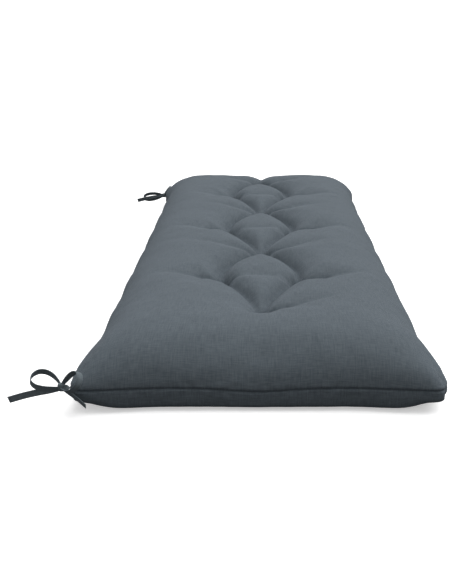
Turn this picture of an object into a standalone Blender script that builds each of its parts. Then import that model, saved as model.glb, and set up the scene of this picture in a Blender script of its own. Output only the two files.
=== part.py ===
"""Bench cushion: a stuffed, tufted pad sewn from two panels, with a tie knotted in a bow at two corners.

Metres, +Z up. The pad lies on its underside, centred on the origin, 1.20 m along Y and 0.50 m along X.
The ties are sewn into the seam at the two corners of the -X side.
"""

from collections import namedtuple
from math import copysign, cos, exp, radians, sin, sqrt

import bmesh
import bpy
import numpy as np
from mathutils import Matrix, Vector

# ---------------------------------------------------------------- driving dimensions
LENGTH = 1.20  # along Y, over the corner tips of the seam
WIDTH = 0.50  # along X, over the corner tips of the seam
LOFT = 0.100  # from the floor to the top of the stuffed rolls
SEAM_HEIGHT = 0.033  # the seam that joins the two panels, all round

MM = 0.001
HALF_WIDTH = WIDTH / 2
HALF_LENGTH = LENGTH / 2
ROW_SPACING = LENGTH / 8  # seven rows of tufts, an equal step from each other and from the ends
PAIR_OFFSET = 0.060  # a row of two tufts has them this far either side of the middle

# ---------------------------------------------------------------- outline of the seam
SIDE_DRAW_IN = 0.0155  # stuffing draws the long sides in from the corner tips
END_DRAW_IN = 0.009
FLARE_START = 0.83  # share of the half length where a side starts to flare out to its corner
FLARE_END = 0.97
CORNER_RADIUS = 0.022
CORNER_BLEND = 5.0  # how quickly the corner rounding dies out towards the middle
SEAM_DIP = 0.005  # the seam sags this much at the middle of each end
SEAM_DIP_WIDTH = 0.055

# ---------------------------------------------------------------- section of the stuffing
TOP_ROUND = 0.100  # the top panel rises from the seam to full loft over this distance
UNDER_ROUND = 0.032  # the underside comes down to the floor over this distance
ROUND_POWER = 2.1
TOP_BULGE = 0.003  # how far each panel swells out past the seam
UNDER_BULGE = 0.014
UNDER_CORNER = 0.075  # the underside's corners lift off the floor round an arc of this radius
EAR_SHARE = 0.30  # how much of the stuffing's rise is left right at a corner's tip

# ---------------------------------------------------------------- tufting
TUFT_DEPTH = 0.036
TUFT_RADIUS = 0.050
UNDER_TUFT_DEPTH = 0.014  # the underside only dimples at its tufts, since it bears on what it lies on
UNDER_TUFT_RADIUS = 0.042
CREASE_WIDTH = 0.052  # half the width of the trough that a crease lies in
CREASE_POWER = 2.1  # above 1 the trough has a sharp line at the bottom and round shoulders
MEET_POWER = 3.0  # troughs that meet blend with this power, so that their depths hardly add up

Row = namedtuple("Row", "kind side_reach side_depth sweep")
ROWS = [
    Row("single", 0.150, 0.017, 0.022),
    Row("pair", 0.205, 0.019, 0.006),
    Row("single", 0.150, 0.015, 0.020),
    Row("pair", 0.205, 0.018, 0.006),
    Row("single", 0.150, 0.014, 0.018),
    Row("pair", 0.205, 0.017, 0.006),
    Row("single", 0.150, 0.014, 0.016),
]
DIAGONAL_DEPTH = 0.020
PAIR_DEPTH = 0.018
END_DEPTH = 0.009

# ---------------------------------------------------------------- mesh
CELLS_ALONG = 60
CELLS_ACROSS = 26
EDGE_CROWDING = 0.45  # 0 spaces the mesh evenly, 1 crowds it fully towards the seam

# ---------------------------------------------------------------- ties, in millimetres
TIE_WIDTH = 9.5
TIE_THICKNESS = 1.1
KNOT_LENGTH = 9.5  # along the strips that run through it
KNOT_DEPTH = 8.0
KNOT_HEIGHT = 11.5
SEAM_GAP = 0.8  # between the strip's sewn middle and the cushion
STUB_SHARE = 0.72  # of the full width, where the strip is gathered into the seam
STUB_ARCH = 1.5
LAYER_STEP = 1.3  # from the middle of the knot to the strips that pass either side of it
TAIL_DROP = 2.6  # the free ends leave the knot this far below its middle
STRIP_CELLS = 3  # mesh cells between two stations of a strip

# heading: degrees off the way out from the long side, towards the nearer end of the cushion
# rise: degrees above level. tilt: degrees that the strip is rolled about its own line, from standing on edge
Loop = namedtuple("Loop", "heading rise length breadth tilt")
Tail = namedtuple("Tail", "heading rise length arch tilt")
Bow = namedtuple("Bow", "name end knot_x knot_y knot_z outer_loop inner_loop outer_tail inner_tail")
BOWS = [
    Bow(
        "near", -1, 0.2585, 0.592, 0.036,
        outer_loop=Loop(-12, 17, 42, 25, 22),
        inner_loop=Loop(137, 27, 37, 26, -52),
        outer_tail=Tail(2, -14, 72, 2, 0),
        inner_tail=Tail(144, -33, 57, 2, -38),
    ),
    Bow(
        "far", 1, 0.2585, 0.592, 0.027,
        outer_loop=Loop(-4, -5, 54, 26, -24),
        inner_loop=Loop(126, 24, 35, 24, -50),
        outer_tail=Tail(4, -12, 74, 2, 0),
        inner_tail=Tail(120, -22, 50, 2, -35),
    ),
]
# degrees round a loop at which it is drawn, and shares of a tail's length
LOOP_TURNS = (0, 14, 28, 42, 57, 73, 90, 107, 123, 138, 152, 166, 180)
TAIL_SHARES = (0.0, 0.12, 0.26, 0.45, 0.7, 1.0)
BUNCHING = 0.5  # a strip is this much narrower inside the knot

# A strip's station: where its middle is from the knot's middle, x towards the cushion, y towards the
# cushion's middle and z up. across_* is the way its width points, and width is its share of the full width.
Station = namedtuple("Station", "x y z across_x across_y across_z width")

CLOTH_COLOUR = (0.105, 0.132, 0.155, 1.0)

Crease = namedtuple("Crease", "start end depth_start depth_end")


def clear_scene():
    for obj in list(bpy.data.objects):
        bpy.data.objects.remove(obj, do_unlink=True)


def smooth(t):
    t = np.clip(t, 0.0, 1.0)
    return t * t * (3 - 2 * t)


def make_cloth():
    cloth = bpy.data.materials.new("grey_canvas")
    cloth.use_nodes = True
    shader = cloth.node_tree.nodes["Principled BSDF"]
    shader.inputs["Base Color"].default_value = CLOTH_COLOUR
    shader.inputs["Roughness"].default_value = 0.85
    shader.inputs["Metallic"].default_value = 0.0
    return cloth


# ---------------------------------------------------------------- the tuft and crease layout
def row_y(index):
    return (index + 1) * ROW_SPACING - HALF_LENGTH


def tufts_of(index):
    """The tufts of a row, from -X to +X."""
    if ROWS[index].kind == "single":
        return [(0.0, row_y(index))]
    return [(-PAIR_OFFSET, row_y(index)), (PAIR_OFFSET, row_y(index))]


def all_tufts():
    return [tuft for index in range(len(ROWS)) for tuft in tufts_of(index)]


def crosswise_creases():
    """From the outer tufts of each row towards the long sides, and between the two tufts of a pair."""
    creases = []
    for index, row in enumerate(ROWS):
        tufts = tufts_of(index)
        for side, tuft in ((-1, tufts[0]), (1, tufts[-1])):
            end = (side * row.side_reach, tuft[1] + row.sweep)
            creases.append(Crease(tuft, end, row.side_depth, 0.0))
        if row.kind == "pair":
            creases.append(Crease(tufts[0], tufts[1], PAIR_DEPTH, PAIR_DEPTH))
    return creases


def diagonal_creases():
    """From each tuft to the tufts of the next row."""
    creases = []
    for index in range(len(ROWS) - 1):
        for tuft in tufts_of(index):
            for other in tufts_of(index + 1):
                creases.append(Crease(tuft, other, DIAGONAL_DEPTH, DIAGONAL_DEPTH))
    return creases


def end_creases():
    """From the last tuft at each end to that end's seam. The near one hardly shows."""
    far = Crease(tufts_of(len(ROWS) - 1)[0], (0.0, HALF_LENGTH), END_DEPTH, END_DEPTH)
    near = Crease(tufts_of(0)[0], (0.0, -HALF_LENGTH), END_DEPTH / 3, 0.0)
    return [far, near]


def trough(away, half_width, depth):
    return depth * np.clip(1 - away / half_width, 0, 1) ** CREASE_POWER


def dimpled(x, y, depth, radius):
    """How far the tufts alone pull a panel in at (x, y)."""
    pulled = np.zeros_like(x)
    for tuft_x, tuft_y in all_tufts():
        pulled += trough(np.hypot(x - tuft_x, y - tuft_y), radius, depth)
    return pulled


def creased(x, y):
    """How far the tufts and the creases that run between them pull the top panel in at (x, y)."""
    pulled = dimpled(x, y, TUFT_DEPTH, TUFT_RADIUS) ** MEET_POWER
    for crease in crosswise_creases() + diagonal_creases() + end_creases():
        start = np.array(crease.start)
        run = np.array(crease.end) - start
        along = np.clip(((x - start[0]) * run[0] + (y - start[1]) * run[1]) / (run @ run), 0, 1)
        away = np.hypot(x - start[0] - along * run[0], y - start[1] - along * run[1])
        depth = crease.depth_start + (crease.depth_end - crease.depth_start) * along
        pulled += trough(away, CREASE_WIDTH, depth) ** MEET_POWER
    return pulled ** (1 / MEET_POWER)


# ---------------------------------------------------------------- the cushion's surface
def seam_outline(a, b):
    """The plan position of panel coordinates a, b, each from -1 to 1. The seam is where either is -1 or 1."""
    flare_x = smooth((np.abs(b) - FLARE_START) / (FLARE_END - FLARE_START))
    flare_y = smooth((np.abs(a) - 0.45) / 0.55)
    x = a * (HALF_WIDTH - SIDE_DRAW_IN * (1 - flare_x))
    y = b * (HALF_LENGTH - END_DRAW_IN * (1 - flare_y))
    # The corner rounding: a point beyond the corner's arc moves onto it, and less so further inside.
    reach = np.maximum(np.abs(a), np.abs(b))
    edge_x = x / np.maximum(reach, 1e-9)
    edge_y = y / np.maximum(reach, 1e-9)
    past_x = np.maximum(np.abs(edge_x) - (HALF_WIDTH - CORNER_RADIUS), 0)
    past_y = np.maximum(np.abs(edge_y) - (HALF_LENGTH - CORNER_RADIUS), 0)
    past = np.hypot(past_x, past_y)
    pull = np.where(past > CORNER_RADIUS, 1 - CORNER_RADIUS / np.maximum(past, 1e-9), 0)
    share = reach**CORNER_BLEND
    x = x - np.sign(x) * past_x * pull * share
    y = y - np.sign(y) * past_y * pull * share
    return x, y


def rounded(distance, over):
    """0 at the seam and 1 from 'over' inwards, leaving the seam steeply."""
    t = np.clip(distance / over, 0, 1)
    return (1 - (1 - t) ** ROUND_POWER) ** (1 / ROUND_POWER)


def swelling(distance, over):
    return np.sin(np.pi * np.clip(distance / over, 0, 1))


def inside_rounded_edge(from_side, from_end):
    """The distance from an edge whose corners are rounded off, less and less past them but never quite 0."""
    beyond = np.hypot(np.maximum(UNDER_CORNER - from_side, 0), np.maximum(UNDER_CORNER - from_end, 0))
    nearest = np.minimum(from_side, from_end)
    distance = np.where(np.maximum(from_side, from_end) < UNDER_CORNER, UNDER_CORNER - beyond, nearest)
    return np.maximum(distance, EAR_SHARE * nearest)


def panel(a, b, top):
    """Points of the top or bottom panel, for arrays of panel coordinates."""
    x, y = seam_outline(a, b)
    from_side = (1 - np.abs(a)) * HALF_WIDTH
    from_end = (1 - np.abs(b)) * HALF_LENGTH
    over = TOP_ROUND if top else UNDER_ROUND
    if top:
        rise = rounded(from_side, over) * rounded(from_end, over)
    else:
        rise = rounded(inside_rounded_edge(from_side, from_end), over)
    seam = SEAM_HEIGHT - SEAM_DIP * np.exp(-((x / SEAM_DIP_WIDTH) ** 2)) * smooth(np.abs(b) * 4 - 3)
    bulge = TOP_BULGE if top else UNDER_BULGE
    x = x + np.sign(a) * bulge * swelling(from_side, over) * rounded(from_end, over)
    y = y + np.sign(b) * bulge * swelling(from_end, over) * rounded(from_side, over)
    if top:
        z = seam + (LOFT - SEAM_HEIGHT - creased(x, y)) * rise
    else:
        z = seam * (1 - rise) + dimpled(x, y, UNDER_TUFT_DEPTH, UNDER_TUFT_RADIUS) * rise
    return np.stack([x, y, z], axis=-1)


def crowd(t):
    """Moves evenly spaced panel coordinates towards the seam, where the surface bends most."""
    return (1 - EDGE_CROWDING) * t + EDGE_CROWDING * np.sin(t * np.pi / 2)


def make_cushion(cloth):
    """Two grids of the same cells, one for each panel, shaped and joined along the seam."""
    shape = bmesh.new()
    for top in (True, False):
        made = bmesh.ops.create_grid(shape, x_segments=CELLS_ACROSS, y_segments=CELLS_ALONG, size=1.0)
        flat = np.array([v.co[:] for v in made["verts"]])
        points = panel(crowd(flat[:, 0]), crowd(flat[:, 1]), top)
        for vert, point in zip(made["verts"], points):
            vert.co = point
        if not top:
            faces = {face for vert in made["verts"] for face in vert.link_faces}
            bmesh.ops.reverse_faces(shape, faces=list(faces))
    bmesh.ops.remove_doubles(shape, verts=shape.verts, dist=1e-5)
    mesh = bpy.data.meshes.new("cushion")
    shape.to_mesh(mesh)
    shape.free()
    mesh.shade_smooth()
    mesh.materials.append(cloth)
    return bpy.data.objects.new("cushion", mesh)


# ---------------------------------------------------------------- the ties
def turned(heading, rise, tilt):
    """The line along a loop or tail, the way across the loop, and the way the strip's width points."""
    turn = Matrix.Rotation(radians(heading), 3, "Z") @ Matrix.Rotation(radians(rise), 3, "Y")
    turn = turn @ Matrix.Rotation(radians(tilt), 3, "X")
    return turn @ Vector((-1, 0, 0)), turn @ Vector((0, 1, 0)), turn @ Vector((0, 0, 1))


def bunched(out):
    """The share of its full width that a strip has this far from the knot's middle."""
    return 1 - BUNCHING * exp(-((out / KNOT_LENGTH) ** 2))


def loop_stations(loop):
    """A teardrop that leaves the knot on one side of its middle and comes back on the other."""
    along, sideways, across = turned(loop.heading, loop.rise, loop.tilt)
    stations = []
    for turn in LOOP_TURNS:
        angle = radians(turn)
        out = loop.length * sin(angle) ** 2
        off = loop.breadth * 0.65 * sin(2 * angle) * sin(angle) + LAYER_STEP * cos(angle)
        stations.append(Station(*(along * out + sideways * off), *across, bunched(out)))
    return stations


def tail_stations(tail):
    along, _, across = turned(tail.heading, tail.rise, tail.tilt)
    stations = []
    for share in TAIL_SHARES:
        out = tail.length * share
        point = along * out + Vector((0, 0, 4 * tail.arch * share * (1 - share) - TAIL_DROP * (1 - share)))
        stations.append(Station(*point, *across, bunched(out)))
    return stations


def stub_stations(bow):
    """The two strips, one on the other, from the seam at the corner's tip into the knot."""
    inner_edge = bow.knot_y - STUB_SHARE * TIE_WIDTH * MM / 2
    past_corner_centre = max(inner_edge - (HALF_LENGTH - CORNER_RADIUS), 0)
    seam_x = HALF_WIDTH - CORNER_RADIUS + sqrt(CORNER_RADIUS**2 - past_corner_centre**2)
    x = (bow.knot_x - seam_x) / MM - SEAM_GAP
    z = (SEAM_HEIGHT - bow.knot_z) / MM
    return [
        Station(x, 0.0, z, 0.0, 1.0, 0.0, STUB_SHARE),
        Station(x * 0.6, 0.0, z * 0.6 + STUB_ARCH, 0.0, 1.0, 1.0, STUB_SHARE),
        Station(0.0, 0.0, 0.0, 0.0, 0.0, 1.0, STUB_SHARE),
    ]


def smooth_route(stations):
    """Rows between the stations on a smooth curve through them, each laid out as a Station."""
    table = np.array(stations)
    padded = np.vstack([2 * table[0] - table[1], table, 2 * table[-1] - table[-2]])
    rows = []
    for before, here, there, after in zip(padded, padded[1:], padded[2:], padded[3:]):
        for step in range(STRIP_CELLS):
            t = step / STRIP_CELLS
            rise = (there - before) * t
            bend = (2 * before - 5 * here + 4 * there - after) * t**2
            twist = (3 * here - before - 3 * there + after) * t**3
            rows.append(here + 0.5 * (rise + bend + twist))
    rows.append(table[-1])
    return np.array(rows)


def in_place(bow, point):
    """A point in millimetres from the knot's middle, as a place on the cushion in metres."""
    x, y, z = (value * MM for value in point)
    return Vector((x - bow.knot_x, bow.end * (bow.knot_y - y), bow.knot_z + z))


def make_strip(name, bow, stations, cloth, thickness=TIE_THICKNESS):
    """A flat strip laid along its stations, thickened by Solidify."""
    rows = smooth_route(stations)
    points = rows[:, 0:3]
    tangents = np.gradient(points, axis=0)
    tangents /= np.linalg.norm(tangents, axis=1)[:, None]
    across = rows[:, 3:6]
    across = across - tangents * np.sum(across * tangents, axis=1)[:, None]
    across /= np.linalg.norm(across, axis=1)[:, None]
    half = across * rows[:, 6:7] * TIE_WIDTH / 2
    shape = bmesh.new()
    last = len(rows) - 1
    bmesh.ops.create_grid(shape, x_segments=1, y_segments=last, size=1.0)
    for vert in shape.verts:
        row = round((vert.co.y + 1) / 2 * last)
        vert.co = in_place(bow, points[row] + half[row] * vert.co.x)
    mesh = bpy.data.meshes.new(name)
    shape.to_mesh(mesh)
    shape.free()
    mesh.materials.append(cloth)
    strip = bpy.data.objects.new(name, mesh)
    thicken = strip.modifiers.new("thickness", "SOLIDIFY")
    thicken.thickness = thickness * MM
    thicken.offset = 0.0
    strip.hide_render = True
    strip.display_type = "WIRE"
    return strip


def make_knot(name, bow, cloth):
    """The pulled-tight wrap at the middle of a bow: a barrel with soft edges."""
    shape = bmesh.new()
    bmesh.ops.create_uvsphere(shape, u_segments=16, v_segments=10, radius=1.0)
    for vert in shape.verts:
        x, y, z = (copysign(abs(value) ** 0.7, value) for value in vert.co)
        vert.co = in_place(bow, (x * KNOT_LENGTH / 2, y * KNOT_DEPTH / 2, z * KNOT_HEIGHT / 2))
    bmesh.ops.recalc_face_normals(shape, faces=shape.faces)
    mesh = bpy.data.meshes.new(name)
    shape.to_mesh(mesh)
    shape.free()
    mesh.shade_smooth()
    mesh.materials.append(cloth)
    return bpy.data.objects.new(name, mesh)


def make_tie(bow, cloth, parts, guides):
    """One strip sewn in at its middle and tied in a bow: two loops, two free ends and the knot."""
    name = f"tie_{bow.name}"
    tie = make_knot(name, bow, cloth)
    parts.objects.link(tie)
    strips = {
        "stub": (stub_stations(bow), 2 * TIE_THICKNESS),
        "outer_loop": (loop_stations(bow.outer_loop), TIE_THICKNESS),
        "inner_loop": (loop_stations(bow.inner_loop), TIE_THICKNESS),
        "outer_tail": (tail_stations(bow.outer_tail), TIE_THICKNESS),
        "inner_tail": (tail_stations(bow.inner_tail), TIE_THICKNESS),
    }
    for part_name, (stations, thickness) in strips.items():
        strip = make_strip(f"{name}_{part_name}", bow, stations, cloth, thickness)
        guides.objects.link(strip)
        join = tie.modifiers.new(part_name, "BOOLEAN")
        join.operation = "UNION"
        join.solver = "EXACT"
        join.object = strip


def main():
    clear_scene()
    cloth = make_cloth()
    parts = bpy.data.collections.new("bench_cushion")
    guides = bpy.data.collections.new("tie_strips")
    for group in (parts, guides):
        bpy.context.scene.collection.children.link(group)
    parts.objects.link(make_cushion(cloth))
    for bow in BOWS:
        make_tie(bow, cloth, parts, guides)


main()
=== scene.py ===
# %% [markdown]
# # A tufted bench cushion with a bow at two corners
#
# The real thing is sewn from two rectangles of grey canvas, one above the other, joined by a plain seam all
# round and stuffed with fibre filling. A needle and thread then pull the top and the underside together at ten
# places, the tufts, in rows of one and two. Two narrow ties are caught in the seam at the corners of one long
# side, and each is knotted in a bow. We build the cushion first, then the threads, then the ties, and we
# finish with the light. Everything is in metres, with +Z up.

# %% Load the frame
from collections import namedtuple
from math import cos, exp, pi, radians, sin, sqrt

import bmesh
import bpy
import numpy as np
from mathutils import Matrix, Vector, kdtree, noise


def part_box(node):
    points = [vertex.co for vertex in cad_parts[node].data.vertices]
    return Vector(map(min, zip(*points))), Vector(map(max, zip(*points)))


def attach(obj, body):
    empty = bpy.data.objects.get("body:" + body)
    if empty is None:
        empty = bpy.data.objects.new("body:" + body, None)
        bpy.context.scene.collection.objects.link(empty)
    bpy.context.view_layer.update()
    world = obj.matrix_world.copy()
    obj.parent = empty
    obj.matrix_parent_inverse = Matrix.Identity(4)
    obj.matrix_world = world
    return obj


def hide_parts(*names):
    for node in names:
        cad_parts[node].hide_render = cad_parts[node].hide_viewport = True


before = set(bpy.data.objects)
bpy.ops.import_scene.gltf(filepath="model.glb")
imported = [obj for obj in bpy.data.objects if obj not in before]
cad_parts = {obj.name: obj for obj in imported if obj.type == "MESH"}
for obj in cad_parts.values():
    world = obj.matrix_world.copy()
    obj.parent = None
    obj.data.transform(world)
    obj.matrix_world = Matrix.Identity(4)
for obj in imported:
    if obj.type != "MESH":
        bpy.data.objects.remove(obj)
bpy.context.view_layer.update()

scene = bpy.context.scene
pad_low, pad_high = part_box("cushion")
print("the cushion's box:", [round(v, 3) for v in (*pad_low, *pad_high)])

# %% [markdown]
# ## The camera
#
# The cushion lies on its underside and we look along its length, from a standing person's distance and a
# little above the near end. A lens of about 50 mm keeps the strong narrowing towards the far end. The cushion
# stands to the right of the picture's middle with the bow on the left, so a small sideways shift frames
# it without turning the camera, which would tilt the sides.

# %% Camera
EYE_BACK = 0.93  # from the camera to the near end, along the floor
EYE_HEIGHT = 0.50
LOOK_DOWN = 19.5

camera_data = bpy.data.cameras.new("camera")
camera_data.lens = 49.0
camera_data.sensor_width = 36.0
camera_data.shift_x = -0.0565
camera = bpy.data.objects.new("camera", camera_data)
camera.location = (0, -0.6 - EYE_BACK, EYE_HEIGHT)
camera.rotation_euler = (radians(90 - LOOK_DOWN), 0, 0)
scene.collection.objects.link(camera)
scene.camera = camera
print("the camera is", EYE_BACK, "m from the near end")

# %% [markdown]
# ## The cut and the seam
#
# A stuffed cushion never keeps the straight outline of its cut. The filling draws the long sides in, and only
# the four corners stay out, as soft ears. The tufts pull the sides in a little more at every row. We write the
# outline as a formula of two panel coordinates, a across and b along, that run from -1 to 1: the seam is
# where either of them reaches its limit, so both panels share it exactly.

# %% Driving dimensions and the seam's outline
LENGTH = 1.20
WIDTH = 0.50
HALF_LENGTH = LENGTH / 2
HALF_WIDTH = WIDTH / 2
LOFT = 0.099
SEAM_HEIGHT = 0.033
ROW_SPACING = LENGTH / 8
SIDE_DRAW_IN = 0.0128
RIGHT_FULLER = 0.0030
END_DRAW_IN = 0.009
SCALLOP = 0.0022
FLARE_START = 0.80
FLARE_END = 0.955
CORNER_RADIUS = 0.022
CORNER_BLEND = 5.0
SEAM_DIP = 0.005
SEAM_DIP_WIDTH = 0.055


def smooth(t):
    t = np.clip(t, 0.0, 1.0)
    return t * t * (3 - 2 * t)


def seam_outline(a, b):
    """The plan position of panel coordinates a, b."""
    flare_x = smooth((np.abs(b) - FLARE_START) / (FLARE_END - FLARE_START))
    flare_y = smooth((np.abs(a) - 0.45) / 0.55)
    at_row = 0.5 + 0.5 * np.cos(2 * pi * b * HALF_LENGTH / ROW_SPACING)
    draw_in = SIDE_DRAW_IN - RIGHT_FULLER * smooth(a) + SCALLOP * at_row
    x = a * (HALF_WIDTH - draw_in * (1 - flare_x))
    y = b * (HALF_LENGTH - END_DRAW_IN * (1 - flare_y))
    reach = np.maximum(np.abs(a), np.abs(b))
    edge_x = x / np.maximum(reach, 1e-9)
    edge_y = y / np.maximum(reach, 1e-9)
    past_x = np.maximum(np.abs(edge_x) - (HALF_WIDTH - CORNER_RADIUS), 0)
    past_y = np.maximum(np.abs(edge_y) - (HALF_LENGTH - CORNER_RADIUS), 0)
    past = np.hypot(past_x, past_y)
    pull = np.where(past > CORNER_RADIUS, 1 - CORNER_RADIUS / np.maximum(past, 1e-9), 0)
    share = reach**CORNER_BLEND
    return x - np.sign(x) * past_x * pull * share, y - np.sign(y) * past_y * pull * share


middle_x, _ = seam_outline(np.array([1.0]), np.array([0.0]))
print("the waist is", round(float(2 * middle_x[0]), 3), "m wide")

# %% [markdown]
# ## The stuffing's section
#
# The top panel climbs from the seam in a wide quarter round, because the filling is thick and soft there. The
# underside turns under in a tight one, bulging out past the seam before it lies flat on the bench. A
# superellipse gives both, and it leaves the seam steeply, as tight cloth does.

# %% Section of the stuffing
TOP_ROUND = 0.100
UNDER_ROUND = 0.032
TOP_POWER = 1.85
UNDER_POWER = 2.1
TOP_BULGE = 0.003
UNDER_BULGE = 0.011
UNDER_CORNER = 0.075
EAR_SHARE = 0.30


def rounded(distance, over):
    """0 at the seam and 1 from 'over' inwards, leaving the seam steeply."""
    t = np.clip(distance / over, 0, 1)
    power = TOP_POWER if over == TOP_ROUND else UNDER_POWER
    return (1 - (1 - t) ** power) ** (1 / power)


def swelling(distance, over):
    return np.sin(pi * np.clip(distance / over, 0, 1))


def inside_rounded_edge(from_side, from_end):
    """The distance from an edge whose corners are rounded off, less and less past them but never quite 0."""
    beyond = np.hypot(np.maximum(UNDER_CORNER - from_side, 0), np.maximum(UNDER_CORNER - from_end, 0))
    nearest = np.minimum(from_side, from_end)
    in_corner = np.maximum(from_side, from_end) < UNDER_CORNER
    distance = np.where(in_corner, UNDER_CORNER - beyond, nearest)
    return np.maximum(distance, EAR_SHARE * nearest)


print("the top climbs", round(LOFT - SEAM_HEIGHT, 3), "m over", TOP_ROUND, "m")

# %% [markdown]
# ## Tufts and the creases between them
#
# Each tuft is a deep dimple. The cloth between two tufts has nowhere to go, so it folds into a crease that
# joins them, and from the outer tufts more creases run out towards the sides and fade. A crease bows a little,
# because full lobes push it aside: between a single tuft and the pair behind it the lobes outside are
# fuller, and between a pair and the single behind it the lobe in the middle is. We list the creases by the
# tufts that they join, lay each on a quadratic curve and press a trough along it.

# %% Where the tufts are
PAIR_OFFSET = 0.058
ROW_TUFTS = (1, 2, 1, 2, 1, 2, 1)


def row_y(row):
    return (row + 1) * ROW_SPACING - HALF_LENGTH


def tufts_of(row):
    """The tufts of a row, from -X to +X."""
    if ROW_TUFTS[row] == 1:
        return [(0.003, row_y(row))]
    return [(-PAIR_OFFSET, row_y(row)), (PAIR_OFFSET + 0.003, row_y(row))]


TUFTS = [tuft for row in range(len(ROW_TUFTS)) for tuft in tufts_of(row)]
print(len(TUFTS), "tufts")

# %% The creases
# bow: how far the middle of the curve is pushed away from the cushion's long middle line
Crease = namedtuple("Crease", "start end depth_start depth_end bow")
# for each row: how far its creases reach to the left and right, how deep they start, how far they sweep along
SideCrease = namedtuple("SideCrease", "left_reach right_reach left_depth right_depth sweep")
SIDE_CREASES = [
    SideCrease(0.075, 0.165, 0.008, 0.016, 0.050),
    SideCrease(0.185, 0.205, 0.017, 0.018, 0.010),
    SideCrease(0.165, 0.160, 0.013, 0.016, 0.052),
    SideCrease(0.185, 0.200, 0.016, 0.018, 0.008),
    SideCrease(0.150, 0.175, 0.012, 0.015, 0.045),
    SideCrease(0.170, 0.200, 0.015, 0.017, 0.008),
    SideCrease(0.130, 0.175, 0.010, 0.014, 0.042),
]
OPENING_DEPTH = 0.022
OPENING_BOW = -0.009
CLOSING_DEPTH = 0.024
CLOSING_BOW = 0.027
PAIR_DEPTH = 0.006
FAR_NOTCH_DEPTH = 0.011


def make_creases():
    creases = []
    for row, side in enumerate(SIDE_CREASES):
        tufts = tufts_of(row)
        left, right = tufts[0], tufts[-1]
        left_end = (-side.left_reach, left[1] + side.sweep)
        right_end = (side.right_reach, right[1] + side.sweep)
        creases.append(Crease(left, left_end, side.left_depth, 0.0, 0.0))
        creases.append(Crease(right, right_end, side.right_depth, 0.0, 0.0))
        if len(tufts) == 2:
            creases.append(Crease(left, right, PAIR_DEPTH, PAIR_DEPTH, 0.0))
    for row in range(len(ROW_TUFTS) - 1):
        opening = ROW_TUFTS[row] == 1
        depth = OPENING_DEPTH if opening else CLOSING_DEPTH
        bow = OPENING_BOW if opening else CLOSING_BOW
        for start in tufts_of(row):
            for end in tufts_of(row + 1):
                creases.append(Crease(start, end, depth, depth, bow))
    last = tufts_of(len(ROW_TUFTS) - 1)[0]
    creases.append(Crease(last, (0.008, HALF_LENGTH), FAR_NOTCH_DEPTH, FAR_NOTCH_DEPTH, 0.0))
    return creases


CREASES = make_creases()
print(len(CREASES), "creases")

# %% How deep the cloth is pulled in
CURVE_STEPS = 8
TUFT_DEPTH = 0.036
TUFT_RADIUS = 0.046
CREASE_WIDTH = 0.046
CREASE_POWER = 2.5
MEET_POWER = 3.0
UNDER_TUFT_DEPTH = 0.014
UNDER_TUFT_RADIUS = 0.042


def crease_curve(crease):
    """Points along the crease, with the depth at each."""
    start, end = np.array(crease.start), np.array(crease.end)
    middle = (start + end) / 2
    side = np.sign(middle[0] - 0.001)
    t = np.linspace(0, 1, CURVE_STEPS + 1)[:, None]
    pushed = middle + np.array([side * crease.bow * 2, 0])
    points = (1 - t) ** 2 * start + 2 * t * (1 - t) * pushed + t**2 * end
    depths = crease.depth_start + (crease.depth_end - crease.depth_start) * t[:, 0]
    return points, depths


def crease_field(x, y):
    """For each crease: how far (x, y) is from it, and its depth at the nearest point."""
    for crease in CREASES:
        points, depths = crease_curve(crease)
        nearest = np.full(x.shape, 9.0)
        depth_there = np.zeros(x.shape)
        for i in range(CURVE_STEPS):
            run = points[i + 1] - points[i]
            along = np.clip(((x - points[i, 0]) * run[0] + (y - points[i, 1]) * run[1]) / (run @ run), 0, 1)
            away = np.hypot(x - points[i, 0] - along * run[0], y - points[i, 1] - along * run[1])
            closer = away < nearest
            nearest = np.where(closer, away, nearest)
            depth = depths[i] + (depths[i + 1] - depths[i]) * along
            depth_there = np.where(closer, depth, depth_there)
        yield nearest, depth_there


def trough(away, half_width, depth):
    return depth * np.clip(1 - away / half_width, 0, 1) ** CREASE_POWER


def dimpled(x, y, depth, radius):
    pulled = np.zeros_like(x)
    for tuft_x, tuft_y in TUFTS:
        pulled += trough(np.hypot(x - tuft_x, y - tuft_y), radius, depth)
    return pulled


def creased(x, y):
    """How far the tufts and creases pull the top panel in. Troughs that meet hardly add up."""
    pulled = dimpled(x, y, TUFT_DEPTH, TUFT_RADIUS) ** MEET_POWER
    for away, depth in crease_field(x, y):
        pulled += trough(away, CREASE_WIDTH, depth) ** MEET_POWER
    return pulled ** (1 / MEET_POWER)


print("the deepest tuft is", TUFT_DEPTH, "m")

# %% [markdown]
# ## From formula to mesh
#
# A plain grid would waste its cells on the calm outer lobes and starve the steep cloth beside the seam. So we
# space the grid along the cloth itself: we measure the rounded section's length, add weight near the seam
# and in the tufted middle, and read the panel coordinates back at equal steps. The same lengths serve as the
# UV map, in metres, so the weave lies on the cloth as it was cut.

# %% Spacing the grid along the cloth
CELLS_ACROSS = 60
CELLS_ALONG = 200
SEAM_WEIGHT = 2.0
SEAM_REACH = 0.022
MIDDLE_WEIGHT = 1.3


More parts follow.
